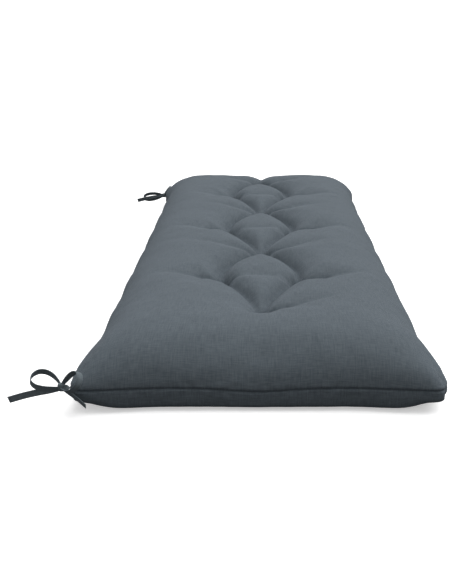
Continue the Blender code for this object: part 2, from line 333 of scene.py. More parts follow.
def cloth_spacing(cells, half, middle_from):
    """Panel coordinates from -1 to 1 and the length along the cloth at each, measured from the middle."""
    distance = half * np.linspace(0, 1, 4001) ** 2
    rise = (LOFT - SEAM_HEIGHT) * rounded(distance, TOP_ROUND)
    steps = np.hypot(np.diff(distance), np.diff(rise))
    length = np.concatenate([[0], np.cumsum(steps)])
    density = 1 + SEAM_WEIGHT * np.exp(-length / SEAM_REACH)
    if middle_from:
        density += MIDDLE_WEIGHT * smooth((distance - middle_from + 0.02) / 0.04)
    share = np.concatenate([[0], np.cumsum(steps * density[1:])])
    wanted = np.linspace(0, share[-1], cells // 2 + 1)
    coordinate = 1 - np.interp(wanted, share, distance) / half
    cut = length[-1] - np.interp(wanted, share, length)
    return np.concatenate([-coordinate, coordinate[-2::-1]]), np.concatenate([-cut, cut[-2::-1]])


across, cut_across = cloth_spacing(CELLS_ACROSS, HALF_WIDTH, HALF_WIDTH - 0.125)
along, cut_along = cloth_spacing(CELLS_ALONG, HALF_LENGTH, None)
print("each panel is cut", round(2 * cut_across[-1], 3), "by", round(2 * cut_along[-1], 3), "m")

# %% The two panels, sewn together
UNDERSIDE_SHIFT = 1.0


def panel(a, b, top):
    """Points of the top or bottom panel, for arrays of panel coordinates."""
    x, y = seam_outline(a, b)
    from_side = (1 - np.abs(a)) * HALF_WIDTH
    from_end = (1 - np.abs(b)) * HALF_LENGTH
    over = TOP_ROUND if top else UNDER_ROUND
    if top:
        rise = rounded(from_side, over) * rounded(from_end, over)
    else:
        rise = rounded(inside_rounded_edge(from_side, from_end), over)
    seam = SEAM_HEIGHT - SEAM_DIP * np.exp(-((x / SEAM_DIP_WIDTH) ** 2)) * smooth(np.abs(b) * 4 - 3)
    bulge = TOP_BULGE if top else UNDER_BULGE
    x = x + np.sign(a) * bulge * swelling(from_side, over) * rounded(from_end, over)
    y = y + np.sign(b) * bulge * swelling(from_end, over) * rounded(from_side, over)
    if top:
        z = seam + (LOFT - SEAM_HEIGHT - creased(x, y)) * rise
    else:
        z = seam * (1 - rise) + dimpled(x, y, UNDER_TUFT_DEPTH, UNDER_TUFT_RADIUS) * rise
    return np.stack([x, y, z], axis=-1)


def sew_panels():
    shape = bmesh.new()
    cut = shape.loops.layers.uv.new("cut_cloth")
    for top in (True, False):
        made = bmesh.ops.create_grid(shape, x_segments=CELLS_ACROSS, y_segments=CELLS_ALONG, size=1.0)
        flat = np.array([vert.co[:] for vert in made["verts"]])
        column = np.rint((flat[:, 0] + 1) / 2 * CELLS_ACROSS).astype(int)
        row = np.rint((flat[:, 1] + 1) / 2 * CELLS_ALONG).astype(int)
        points = panel(across[column], along[row], top)
        place = {}
        for index, vert in enumerate(made["verts"]):
            vert.co = points[index]
            shift = 0.0 if top else UNDERSIDE_SHIFT
            place[vert] = (cut_across[column[index]] + shift, cut_along[row[index]])
        faces = {face for vert in made["verts"] for face in vert.link_faces}
        for face in faces:
            for loop in face.loops:
                loop[cut].uv = place[loop.vert]
        if not top:
            bmesh.ops.reverse_faces(shape, faces=list(faces))
    bmesh.ops.remove_doubles(shape, verts=shape.verts, dist=1e-5)
    mesh = bpy.data.meshes.new("bench_pad")
    shape.to_mesh(mesh)
    shape.free()
    mesh.shade_smooth()
    return bpy.data.objects.new("bench_pad", mesh)


pad = sew_panels()
scene.collection.objects.link(pad)
print("sewn from", len(pad.data.polygons), "faces")

# %% [markdown]
# ## Letting the stuffing push
#
# The formula gives the folds their places but not the strain of real cloth. Blender's Cloth with pressure
# does: it blows the shell up from inside, while the seam, the tufts and the flat underside are pinned. Twenty
# frames are enough for the lobes to fill and for the cloth between them to draw tight. We cap how far any
# point may move, so that the cushion keeps its size.

# %% What is pinned
PIN_TUFT = 0.007
PIN_CREASE = 0.006
CREASE_HOLD = 0.6
UNDER_HOLD = 0.6
PIN_SEAM = 0.004
SEAM_SAMPLES = 2400


def points_of(mesh):
    found = np.empty(len(mesh.vertices) * 3)
    mesh.vertices.foreach_get("co", found)
    return found.reshape(-1, 3)


def normals_of(mesh):
    found = np.empty(len(mesh.vertices) * 3)
    mesh.vertex_normals.foreach_get("vector", found)
    return found.reshape(-1, 3)


def from_tufts(x, y):
    return np.min([np.hypot(x - tuft_x, y - tuft_y) for tuft_x, tuft_y in TUFTS], axis=0)


def from_creases(x, y):
    """The distance from the nearest crease, counting a crease as further away where it is shallow."""
    nearest = np.full(x.shape, 9.0)
    for away, depth in crease_field(x, y):
        nearest = np.minimum(nearest, away + 0.03 * np.clip(1 - depth / 0.012, 0, 1))
    return nearest


def from_seam(points):
    """The distance from the seam, which is drawn as close points from its own formula."""
    ring = np.linspace(-1, 1, SEAM_SAMPLES)
    edges = [panel(np.full(SEAM_SAMPLES, side), ring, True) for side in (-1.0, 1.0)]
    edges += [panel(ring, np.full(SEAM_SAMPLES, side), True) for side in (-1.0, 1.0)]
    seam_points = np.vstack(edges)
    tree = kdtree.KDTree(len(seam_points))
    for index, point in enumerate(seam_points):
        tree.insert(point, index)
    tree.balance()
    return np.array([tree.find(point)[2] for point in points])


def pin_weights(points, normals):
    x, y, z = points.T
    on_top = normals[:, 2] > 0
    crease_weights = CREASE_HOLD * np.exp(-((from_creases(x, y) / PIN_CREASE) ** 2))
    weights = np.where(on_top, crease_weights, UNDER_HOLD)
    weights = np.maximum(weights, np.exp(-((from_tufts(x, y) / PIN_TUFT) ** 2)))
    weights = np.maximum(weights, np.exp(-((from_seam(points) / PIN_SEAM) ** 2)))
    weights = np.where(z < 0.004, 1.0, weights)
    return weights


held = pad.vertex_groups.new(name="held")
start_points = points_of(pad.data)
weights = pin_weights(start_points, normals_of(pad.data))
print(int((weights > 0.9).sum()), "points are held fast")

# %% Inflate
PRESSURE = 4.0
FRAMES = 20
MOST_MOVE = 0.007


def inflate(piece):
    """Runs the cloth simulation and puts its capped result into the mesh."""
    start = points_of(piece.data)
    for index, weight in enumerate(weights):
        if weight > 0.01:
            held.add([index], float(weight), "REPLACE")
    cloth = piece.modifiers.new("stuffing", "CLOTH")
    cloth.settings.quality = 5
    cloth.settings.mass = 0.3
    cloth.settings.tension_stiffness = 15
    cloth.settings.compression_stiffness = 15
    cloth.settings.shear_stiffness = 5
    cloth.settings.bending_stiffness = 0.5
    cloth.settings.use_pressure = True
    cloth.settings.uniform_pressure_force = PRESSURE
    cloth.settings.effector_weights.gravity = 0.0
    cloth.settings.vertex_group_mass = held.name
    cloth.collision_settings.use_collision = False
    cloth.point_cache.frame_start = 1
    cloth.point_cache.frame_end = FRAMES
    for frame_number in range(1, FRAMES + 1):
        scene.frame_set(frame_number)
    evaluated = piece.evaluated_get(bpy.context.evaluated_depsgraph_get())
    moved = points_of(evaluated.data) - start
    piece.modifiers.remove(cloth)
    scene.frame_set(1)
    far = np.linalg.norm(moved, axis=1)
    moved *= (MOST_MOVE * np.tanh(far / MOST_MOVE) / np.maximum(far, 1e-9))[:, None]
    settled = start + moved
    settled[:, 2] = np.maximum(settled[:, 2], 0.0)
    piece.data.vertices.foreach_set("co", settled.ravel())
    piece.data.update()
    print("the stuffing moved the cloth by", round(float(far.mean()) * 1000, 2), "mm on average")


inflate(pad)

# %% [markdown]
# ## Fine folds, gathers and the seam's groove
#
# One level of subdivision rounds the cells off and gives room for the small things that a needle does to
# canvas: a sharp line at the bottom of each crease, little pleats that fan out from every tuft, and short
# puckers along the seam, which sinks between the two panels. Stuffing by hand is never even, so slow noise
# moves the large lobes a little as well. Each is a small move along the surface's own normal.

# %% Subdivide
def made_plain(piece):
    """The piece's evaluated mesh, with every modifier taken off."""
    graph = bpy.context.evaluated_depsgraph_get()
    mesh = bpy.data.meshes.new_from_object(piece.evaluated_get(graph))
    piece.modifiers.clear()
    piece.data = mesh
    return mesh


finer = pad.modifiers.new("finer", "SUBSURF")
finer.levels = 1
finer.render_levels = 1
made_plain(pad)
print("the cushion now has", len(pad.data.polygons), "faces")

# %% Detail moves
CREASE_LINE = 0.0030
CREASE_LINE_WIDTH = 0.0042
PLEAT_HEIGHT = 0.0011
PLEATS = 9
PLEAT_REACH = 0.030
PUCKER_HEIGHT = 0.0007
PUCKER_LENGTH = 0.009
PUCKER_REACH = 0.012
SEAM_SINK = 0.0016
SEAM_SINK_WIDTH = 0.0017
# widths of the painted shade along the creases and along the seam line
CREASE_SHADE_WIDTH = 0.006
SEAM_SHADE_WIDTH = 0.0014
UNEVEN = 0.0022
UNEVEN_SIZE = 0.085


def pleats(x, y):
    """Pleats that fan out from each tuft, strongest a little way out."""
    height = np.zeros_like(x)
    for index, (tuft_x, tuft_y) in enumerate(TUFTS):
        out = np.hypot(x - tuft_x, y - tuft_y)
        angle = np.arctan2(y - tuft_y, x - tuft_x)
        wave = np.cos(PLEATS * angle + 1.7 * index) + 0.5 * np.cos((PLEATS - 4) * angle + 2.9 * index)
        height += wave * (out / 0.008) * np.exp(1 - out / 0.008) * (out < PLEAT_REACH)
    return PLEAT_HEIGHT * height


def lumps(points, size, seed):
    offset = Vector((seed, 0, 0))
    return np.array([noise.noise(Vector(point) / size + offset) for point in points])


points = points_of(pad.data)
normals = normals_of(pad.data)
x, y, z = points.T
top_share = smooth(normals[:, 2] * 3 + 0.5)
lifted = smooth(z / 0.012)
seam_distance = from_seam(points)
near_seam = np.exp(-((seam_distance / SEAM_SINK_WIDTH) ** 2))
line_distance = from_creases(x, y)
move = -CREASE_LINE * np.exp(-np.abs(line_distance) / CREASE_LINE_WIDTH) * top_share
move += pleats(x, y) * np.where(normals[:, 2] > 0, 1.0, 0.4)
move -= SEAM_SINK * near_seam
pucker = lumps(points, PUCKER_LENGTH, 3.0) * np.exp(-seam_distance / PUCKER_REACH) * (1 - near_seam)
move += 2 * PUCKER_HEIGHT * pucker
uneven = lumps(points, UNEVEN_SIZE, 11.0) + 0.4 * lumps(points, UNEVEN_SIZE / 3, 5.0)
move += UNEVEN * uneven * lifted * smooth(seam_distance / 0.03)
points += normals * move[:, None]
points[:, 2] = np.maximum(points[:, 2], 0.0)
pad.data.vertices.foreach_set("co", points.ravel())
pad.data.update()
# Painted shade: a point attribute that is 1 at the bottoms of the creases and along the seam line and fades away
# from them. The material darkens the colour with it, standing in for the shade that falls there.
fold = pad.data.attributes.new("fold", "FLOAT", "POINT")
painted_shade_amount = np.exp(-line_distance / CREASE_SHADE_WIDTH) * top_share
painted_shade_amount = np.clip(np.maximum(painted_shade_amount, np.exp(-seam_distance / SEAM_SHADE_WIDTH)), 0, 1)
fold.data.foreach_set("value", painted_shade_amount.astype(np.float32))
print("detail moves reach", round(float(np.abs(move).max()) * 1000, 2), "mm")

# %% [markdown]
# ## Canvas
#
# The cloth is a plain weave of yarn that was dyed before weaving, so single threads differ a little in shade
# and thickness, and thick places, the slubs, run as short streaks both ways. One node group makes the weave
# for the cushion and the ties: it crosses two sets of threads, decides with a checkerboard which one
# lies on top, and adds streaks along each. It puts out a colour, a roughness and a height. It also paints
# shade: the colour is darkened at the bottoms of the creases and along the seam line, where shade falls.

# %% The weave group
def link(tree, start, end):
    tree.links.new(start, end)


def maths(tree, operation, first, second=None):
    node = tree.nodes.new("ShaderNodeMath")
    node.operation = operation
    for socket, value in zip(node.inputs, (first, second)):
        if hasattr(value, "links"):
            link(tree, value, socket)
        elif value is not None:
            socket.default_value = value
    return node.outputs[0]


def stretched_noise(tree, vector, scale, detail=2.0):
    """Noise on the cut cloth, with its own scale across and along."""
    resize = tree.nodes.new("ShaderNodeVectorMath")
    resize.operation = "MULTIPLY"
    link(tree, vector, resize.inputs[0])
    resize.inputs[1].default_value = scale
    cloud = tree.nodes.new("ShaderNodeTexNoise")
    cloud.inputs["Scale"].default_value = 1.0
    cloud.inputs["Detail"].default_value = detail
    link(tree, resize.outputs[0], cloud.inputs["Vector"])
    return cloud.outputs["Fac"]


def weave_group():
    group = bpy.data.node_groups.new("canvas_weave", "ShaderNodeTree")
    face = group.interface
    face.new_socket("Cloth Position", in_out="INPUT", socket_type="NodeSocketVector")
    threads = face.new_socket("Threads per Metre", in_out="INPUT", socket_type="NodeSocketFloat")
    threads.default_value = 1100.0
    # input for painted shade: 1 where the creases and the seam line are to be painted darker
    face.new_socket("Painted Fold Shade", in_out="INPUT", socket_type="NodeSocketFloat")
    slub = face.new_socket("Slub", in_out="INPUT", socket_type="NodeSocketFloat")
    slub.default_value = 1.0
    face.new_socket("Dark Yarn", in_out="INPUT", socket_type="NodeSocketColor")
    face.new_socket("Light Yarn", in_out="INPUT", socket_type="NodeSocketColor")
    face.new_socket("Colour", in_out="OUTPUT", socket_type="NodeSocketColor")
    face.new_socket("Roughness", in_out="OUTPUT", socket_type="NodeSocketFloat")
    face.new_socket("Height", in_out="OUTPUT", socket_type="NodeSocketFloat")
    given = group.nodes.new("NodeGroupInput")
    place, count = given.outputs["Cloth Position"], given.outputs["Threads per Metre"]
    split = group.nodes.new("ShaderNodeSeparateXYZ")
    link(group, place, split.inputs[0])
    waves = []
    for axis, drift_scale in (("X", (60, 9, 1)), ("Y", (9, 60, 1))):
        drift = maths(group, "MULTIPLY", stretched_noise(group, place, drift_scale), 3.0)
        turns = maths(group, "ADD", maths(group, "MULTIPLY", split.outputs[axis], count), drift)
        waves.append(maths(group, "SINE", maths(group, "MULTIPLY", turns, pi)))
    over = maths(group, "GREATER_THAN", maths(group, "MULTIPLY", waves[0], waves[1]), 0.0)
    warp = maths(group, "MULTIPLY", maths(group, "ABSOLUTE", waves[0]), over)
    weft = maths(group, "MULTIPLY", maths(group, "ABSOLUTE", waves[1]), maths(group, "SUBTRACT", 1.0, over))
    threads_height = maths(group, "ADD", warp, weft)
    streaks_along = stretched_noise(group, place, (620, 55, 1), 3.0)
    streaks_across = stretched_noise(group, place, (70, 620, 1), 3.0)
    streaks = maths(group, "ADD", streaks_along, streaks_across)
    streaks = maths(group, "SUBTRACT", streaks, 1.0)
    cloudy = maths(group, "SUBTRACT", stretched_noise(group, place, (9, 9, 1), 3.0), 0.5)
    shade = maths(group, "MULTIPLY", maths(group, "MULTIPLY", streaks, given.outputs["Slub"]), 1.5)
    shade = maths(group, "ADD", shade, maths(group, "MULTIPLY", cloudy, 0.25))
    shade = maths(group, "ADD", shade, maths(group, "MULTIPLY", threads_height, 0.30))
    shade = maths(group, "ADD", shade, 0.36)
    # painted shade: the fold input darkens the colour in the creases and along the seam, standing in for the
    # shade that falls there
    shade = maths(group, "SUBTRACT", shade, maths(group, "MULTIPLY", given.outputs["Painted Fold Shade"], 0.75))
    blend = group.nodes.new("ShaderNodeMix")
    blend.data_type = "RGBA"
    link(group, shade, blend.inputs["Factor"])
    link(group, given.outputs["Dark Yarn"], blend.inputs[6])
    link(group, given.outputs["Light Yarn"], blend.inputs[7])
    rough = maths(group, "ADD", maths(group, "MULTIPLY", streaks, 0.15), 0.86)
    height = maths(group, "ADD", threads_height, maths(group, "MULTIPLY", streaks, 1.2))
    out = group.nodes.new("NodeGroupOutput")
    link(group, blend.outputs[2], out.inputs["Colour"])
    link(group, rough, out.inputs["Roughness"])
    link(group, height, out.inputs["Height"])
    return group


WEAVE = weave_group()
print("the weave group has", len(WEAVE.nodes), "nodes")

# %% The cloths
def canvas(name, dark, light, uv_name, slub, bump, painted_shade_attribute=None):
    cloth = bpy.data.materials.new(name)
    cloth.use_nodes = True
    tree = cloth.node_tree
    shader = tree.nodes["Principled BSDF"]
    weave = tree.nodes.new("ShaderNodeGroup")
    weave.node_tree = WEAVE
    weave.inputs["Dark Yarn"].default_value = (*dark, 1)
    weave.inputs["Light Yarn"].default_value = (*light, 1)
    weave.inputs["Slub"].default_value = slub
    cut = tree.nodes.new("ShaderNodeUVMap")
    cut.uv_map = uv_name
    link(tree, cut.outputs["UV"], weave.inputs["Cloth Position"])
    # painted shade: the named point attribute darkens the colour in creases and along the seam
    if painted_shade_attribute:
        folded = tree.nodes.new("ShaderNodeAttribute")
        folded.attribute_name = painted_shade_attribute
        link(tree, folded.outputs["Fac"], weave.inputs["Painted Fold Shade"])
    relief = tree.nodes.new("ShaderNodeBump")
    relief.inputs["Strength"].default_value = bump
    relief.inputs["Distance"].default_value = 0.0004
    link(tree, weave.outputs["Height"], relief.inputs["Height"])
    link(tree, weave.outputs["Colour"], shader.inputs["Base Color"])
    link(tree, weave.outputs["Roughness"], shader.inputs["Roughness"])
    link(tree, relief.outputs["Normal"], shader.inputs["Normal"])
    shader.inputs["Sheen Weight"].default_value = 0.12
    shader.inputs["Sheen Roughness"].default_value = 0.5
    shader.inputs["Sheen Tint"].default_value = (0.75, 0.85, 1.0, 1)
    shader.inputs["Specular IOR Level"].default_value = 0.2
    return cloth


# the cushion's canvas reads the fold attribute as painted shade in its creases and along its seam
PAD_CLOTH = canvas("grey_canvas", (0.072, 0.089, 0.103), (0.122, 0.146, 0.165), "cut_cloth", 1.0, 0.5, "fold")
# painted light: the ties are the cushion's own canvas, given lighter yarn colours to make up for the little
# light that their upright faces get
TIE_CLOTH_PAINTED_LIGHTER = canvas("tie_canvas_painted_lighter", (0.092, 0.112, 0.124), (0.155, 0.184, 0.200), "cut_cloth", 0.7, 0.5)
THREAD = canvas("sewing_thread", (0.040, 0.055, 0.068), (0.080, 0.100, 0.115), "UVMap", 0.4, 0.2)
pad.data.materials.append(PAD_CLOTH)
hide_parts("cushion")
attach(pad, "root")
print("three cloths from one weave")

# %% [markdown]
# ## The ties
#
# Each tie is one narrow strip, folded and sewn flat, caught in the seam at its middle. Its two halves are
# tied in a bow, so we see two loops, two free ends and the wrap that holds them. A flat strip is best laid
# out one station at a time: we give its middle line and the way its width points at a few stations, run a
# smooth curve through them, and skin a thin rounded section along it. A simulation would need the whole knot to
# be pulled tight.

# %% The bows, in millimetres
MM = 0.001
TIE_WIDTH = 9.5
TIE_THICKNESS = 1.1
KNOT_LENGTH = 9.5
KNOT_DEPTH = 8.0
KNOT_HEIGHT = 11.5
SEAM_GAP = 0.8
STUB_SHARE = 0.72
STUB_ARCH = 1.5
LAYER_STEP = 1.3
TAIL_DROP = 2.6
STRIP_STEPS = 6
BUNCHING = 0.5
# heading: degrees off the way out from the long side, towards the nearer end of the cushion
# rise: degrees above level. tilt: degrees that the strip is rolled about its own line, from standing on edge
Loop = namedtuple("Loop", "heading rise length breadth tilt")
Tail = namedtuple("Tail", "heading rise length arch tilt")
Bow = namedtuple("Bow", "name end knot_x knot_y knot_z outer_loop inner_loop outer_tail inner_tail")
BOWS = [
    Bow(
        "near", -1, 0.2585, 0.592, 0.036,
        outer_loop=Loop(-12, 17, 42, 29, 14),
        inner_loop=Loop(146, 31, 42, 24, -52),
        outer_tail=Tail(2, -14, 72, 2, 0),
        inner_tail=Tail(144, -18, 47, 2, -18),
    ),
    Bow(
        "far", 1, 0.2585, 0.592, 0.027,
        outer_loop=Loop(-4, -5, 54, 26, -24),
        inner_loop=Loop(126, 24, 35, 24, -50),
        outer_tail=Tail(4, -12, 74, 2, 0),
        inner_tail=Tail(120, -22, 50, 2, -35),
    ),
]
LOOP_TURNS = (0, 14, 28, 42, 57, 73, 90, 107, 123, 138, 152, 166, 180)
TAIL_SHARES = (0.0, 0.12, 0.26, 0.45, 0.7, 1.0)
Station = namedtuple("Station", "x y z across_x across_y across_z width")


def turned(heading, rise, tilt):
    turn = Matrix.Rotation(radians(heading), 3, "Z") @ Matrix.Rotation(radians(rise), 3, "Y")
    turn = turn @ Matrix.Rotation(radians(tilt), 3, "X")
    return turn @ Vector((-1, 0, 0)), turn @ Vector((0, 1, 0)), turn @ Vector((0, 0, 1))


def bunched(out):
    return 1 - BUNCHING * exp(-((out / KNOT_LENGTH) ** 2))


def loop_stations(loop):
    """A teardrop that leaves the knot on one side of its middle and comes back on the other."""
    line, sideways, wide = turned(loop.heading, loop.rise, loop.tilt)
    stations = []
    for turn in LOOP_TURNS:
        angle = radians(turn)
        out = loop.length * sin(angle) ** 2
        off = loop.breadth * 0.65 * sin(2 * angle) * sin(angle) + LAYER_STEP * cos(angle)
        stations.append(Station(*(line * out + sideways * off), *wide, bunched(out)))
    return stations


def tail_stations(tail):
    line, _, wide = turned(tail.heading, tail.rise, tail.tilt)
    stations = []
    for share in TAIL_SHARES:
        out = tail.length * share
        lift = 4 * tail.arch * share * (1 - share) - TAIL_DROP * (1 - share)
        stations.append(Station(*(line * out + Vector((0, 0, lift))), *wide, bunched(out)))
    return stations


def stub_stations(bow):
    """The two halves, one on the other, from the seam beside the corner into the knot."""
    inner_edge = bow.knot_y - STUB_SHARE * TIE_WIDTH * MM / 2
    past_centre = max(inner_edge - (HALF_LENGTH - CORNER_RADIUS), 0)
    seam_x = HALF_WIDTH - CORNER_RADIUS + sqrt(CORNER_RADIUS**2 - past_centre**2)
    reach = (bow.knot_x - seam_x) / MM - SEAM_GAP
    lift = (SEAM_HEIGHT - bow.knot_z) / MM
    return [
        Station(reach, 0.0, lift, 0.0, 1.0, 0.0, STUB_SHARE),
        Station(reach * 0.6, 0.0, lift * 0.6 + STUB_ARCH, 0.0, 1.0, 1.0, STUB_SHARE),
        Station(0.0, 0.0, 0.0, 0.0, 0.0, 1.0, STUB_SHARE),
    ]


def smooth_route(stations):
    table = np.array(stations)
    padded = np.vstack([2 * table[0] - table[1], table, 2 * table[-1] - table[-2]])
    rows = []
    for before, here, there, after in zip(padded, padded[1:], padded[2:], padded[3:]):
        for step in range(STRIP_STEPS):
            t = step / STRIP_STEPS
            first = (there - before) * t
            second = (2 * before - 5 * here + 4 * there - after) * t**2
            third = (3 * here - before - 3 * there + after) * t**3
            rows.append(here + 0.5 * (first + second + third))
    rows.append(table[-1])
    return np.array(rows)


print(len(BOWS), "bows")

# %% Skinning a strip
SECTION_POINTS = 18
HEM_RIDGE = 0.14


def in_place(bow, point):
    x, y, z = (float(value) * MM for value in point)
    return Vector((x - bow.knot_x, bow.end * (bow.knot_y - y), bow.knot_z + z))


def section(width, thickness):
    """A flat section with rounded edges, a little thicker along its folded edges."""
    angles = np.linspace(0, 2 * pi, SECTION_POINTS, endpoint=False) + pi / SECTION_POINTS
    u = np.sign(np.cos(angles)) * np.abs(np.cos(angles)) ** 0.55 * width / 2
    v = np.sign(np.sin(angles)) * np.abs(np.sin(angles)) ** 0.5 * thickness / 2
    ridge = HEM_RIDGE * np.exp(-(((np.abs(u) - width / 2 + 1.2) / 0.6) ** 2))
    return u, v + np.sign(v) * ridge


def skin(shape, rings, lengths, girths):
    """Quads between rings of points, closed by a cap at each end, with the cloth's own UV map."""
    cut = shape.loops.layers.uv["cut_cloth"]
    count = len(rings[0])
    made = [[shape.verts.new(point) for point in ring] for ring in rings]
    faces = []
    for i in range(len(rings) - 1):
        for j in range(count):
            k = (j + 1) % count
            face = shape.faces.new((made[i][j], made[i][k], made[i + 1][k], made[i + 1][j]))
            corners = ((j, i), (j + 1, i), (j + 1, i + 1), (j, i + 1))
            for loop, (around, row) in zip(face.loops, corners):
                loop[cut].uv = (girths[around], lengths[row])
            faces.append(face)
    faces.append(shape.faces.new(made[0][::-1]))
    faces.append(shape.faces.new(made[-1]))
    bmesh.ops.recalc_face_normals(shape, faces=faces)


def add_strip(shape, bow, stations, thickness, start):
    """Adds a strip to the mesh and returns its length and its edge's path, in metres."""
    rows = smooth_route(stations)
    middle = rows[:, 0:3]
    tangents = np.gradient(middle, axis=0)
    tangents /= np.linalg.norm(tangents, axis=1)[:, None]
    wide = rows[:, 3:6]
    wide = wide - tangents * np.sum(wide * tangents, axis=1)[:, None]
    wide /= np.linalg.norm(wide, axis=1)[:, None]
    flat_normal = np.cross(wide, tangents)
    rings, hems = [], []
    for index in range(len(rows)):
        width = rows[index, 6] * TIE_WIDTH
        u, v = section(width, thickness)
        ring = middle[index] + np.outer(u, wide[index]) + np.outer(v, flat_normal[index])
        rings.append([in_place(bow, point) for point in ring])
        hem = middle[index] + wide[index] * (width / 2 - HEM_INSET)
        hems.append([in_place(bow, hem + side * flat_normal[index] * thickness * 0.56) for side in (-1, 1)])
    steps = np.linalg.norm(np.diff(middle, axis=0), axis=1) * MM
    lengths = start + np.concatenate([[0], np.cumsum(steps)])
    girths = np.linspace(0, 2 * TIE_WIDTH * MM, SECTION_POINTS + 1)
    skin(shape, rings, lengths, girths)
    return float(steps.sum()), hems


def add_knot(shape, bow):
    """The wrap: a barrel with soft edges and one slanting fold where the cloth laps over itself."""
    rings = []
    stations = np.linspace(-1, 1, 17)
    angles = np.linspace(0, 2 * pi, 28, endpoint=False)
    for station in stations:
        size = max(1 - abs(station) ** 4.5, 0.02) ** 0.4
        ring = []
        for angle in angles:
            fold_here = 0.09 * exp(-(((station - 0.5 * sin(angle + 0.6)) / 0.16) ** 2))
            grow = size * (1 - fold_here)
            y = np.sign(cos(angle)) * abs(cos(angle)) ** 0.7 * KNOT_DEPTH / 2 * grow
            z = np.sign(sin(angle)) * abs(sin(angle)) ** 0.7 * KNOT_HEIGHT / 2 * grow
            ring.append(in_place(bow, (station * KNOT_LENGTH / 2, y, z)))
        rings.append(ring)
    girths = np.linspace(0, 2 * (KNOT_DEPTH + KNOT_HEIGHT) * MM, len(angles) + 1)
    skin(shape, rings, stations * KNOT_LENGTH / 2 * MM, girths)
    return 2 * (KNOT_DEPTH + KNOT_HEIGHT) * MM


HEM_INSET = 1.5


def make_tie(bow):
    """One mesh for the whole bow, the strip's length and the paths of its hem stitching."""
    shape = bmesh.new()
    shape.loops.layers.uv.new("cut_cloth")
    length = add_knot(shape, bow)
    stub_length, _ = add_strip(shape, bow, stub_stations(bow), 2 * TIE_THICKNESS, 0.0)
    length += 2 * stub_length
    paths = []
    strips = [loop_stations(bow.outer_loop), loop_stations(bow.inner_loop)]
    strips += [tail_stations(bow.outer_tail), tail_stations(bow.inner_tail)]
    for index, stations in enumerate(strips):
        strip_length, hems = add_strip(shape, bow, stations, TIE_THICKNESS, 0.1 + 0.2 * index)
        length += strip_length
        paths.append(hems)
    mesh = bpy.data.meshes.new(f"tied_bow_{bow.name}")
    shape.to_mesh(mesh)
    shape.free()
    mesh.shade_smooth()
    mesh.materials.append(TIE_CLOTH_PAINTED_LIGHTER)
    tie = bpy.data.objects.new(f"tied_bow_{bow.name}", mesh)
    scene.collection.objects.link(tie)
    print(tie.name, "is a strip", round(length, 3), "m long")
    return tie, length, paths


TIES = [make_tie(bow) for bow in BOWS]

# %% [markdown]
# ## Thread
#
# Two kinds of thread show up close: the running stitches that close each tie along its folded edge, and the
# few strands that cross the bottom of every tuft. Both repeat one small capsule, so Geometry Nodes lay
# them: one tree walks along a path at a fixed pitch, the other sets a bundle of strands on each given point,
# turned at random from a fixed seed. Realize Instances makes them real, and we keep the plain mesh.

# %% Geometry Nodes helpers
def new_tree(name, inputs):
    """An empty tree with a geometry in and out, and named inputs given as name: (kind, default)."""
    tree = bpy.data.node_groups.new(name, "GeometryNodeTree")
    tree.interface.new_socket("Geometry", in_out="INPUT", socket_type="NodeSocketGeometry")
    for label, (kind, default) in inputs.items():
        socket = tree.interface.new_socket(label, in_out="INPUT", socket_type=f"NodeSocket{kind}")
        if default is not None:
            socket.default_value = default
    tree.interface.new_socket("Geometry", in_out="OUTPUT", socket_type="NodeSocketGeometry")
    return tree, tree.nodes.new("NodeGroupInput"), tree.nodes.new("NodeGroupOutput")


def capsule(tree, length, radius):
    """A small rounded stitch along X."""
    ball = tree.nodes.new("GeometryNodeMeshUVSphere")
    ball.inputs["Segments"].default_value = 6
    ball.inputs["Rings"].default_value = 5
    ball.inputs["Radius"].default_value = 1.0
    sizes = tree.nodes.new("ShaderNodeCombineXYZ")
    link(tree, maths(tree, "MULTIPLY", length, 0.5), sizes.inputs["X"])
    link(tree, radius, sizes.inputs["Y"])
    link(tree, radius, sizes.inputs["Z"])
    shrink = tree.nodes.new("GeometryNodeTransform")
    link(tree, ball.outputs["Mesh"], shrink.inputs["Geometry"])
    link(tree, sizes.outputs[0], shrink.inputs["Scale"])
    return shrink.outputs["Geometry"]


def finish_tree(tree, geometry, given, out):
    real = tree.nodes.new("GeometryNodeRealizeInstances")
    paint = tree.nodes.new("GeometryNodeSetMaterial")
    link(tree, geometry, real.inputs["Geometry"])
    link(tree, real.outputs["Geometry"], paint.inputs["Geometry"])
    link(tree, given.outputs["Thread"], paint.inputs["Material"])
    link(tree, paint.outputs["Geometry"], out.inputs["Geometry"])
    return tree


def running_stitch_tree():
    sizes = {"Pitch": ("Float", 0.0026), "Stitch Length": ("Float", 0.0019), "Radius": ("Float", 0.00022)}
    tree, given, out = new_tree("running_stitch", {**sizes, "Thread": ("Material", None)})
    walk = tree.nodes.new("GeometryNodeCurveToPoints")
    walk.mode = "LENGTH"
    link(tree, given.outputs["Geometry"], walk.inputs["Curve"])
    link(tree, given.outputs["Pitch"], walk.inputs["Length"])
    turn = tree.nodes.new("FunctionNodeAlignRotationToVector")
    turn.axis = "X"
    link(tree, walk.outputs["Tangent"], turn.inputs["Vector"])
    place = tree.nodes.new("GeometryNodeInstanceOnPoints")
    link(tree, walk.outputs["Points"], place.inputs["Points"])
    stitch = capsule(tree, given.outputs["Stitch Length"], given.outputs["Radius"])
    link(tree, stitch, place.inputs["Instance"])
    link(tree, turn.outputs["Rotation"], place.inputs["Rotation"])
    return finish_tree(tree, place.outputs["Instances"], given, out)


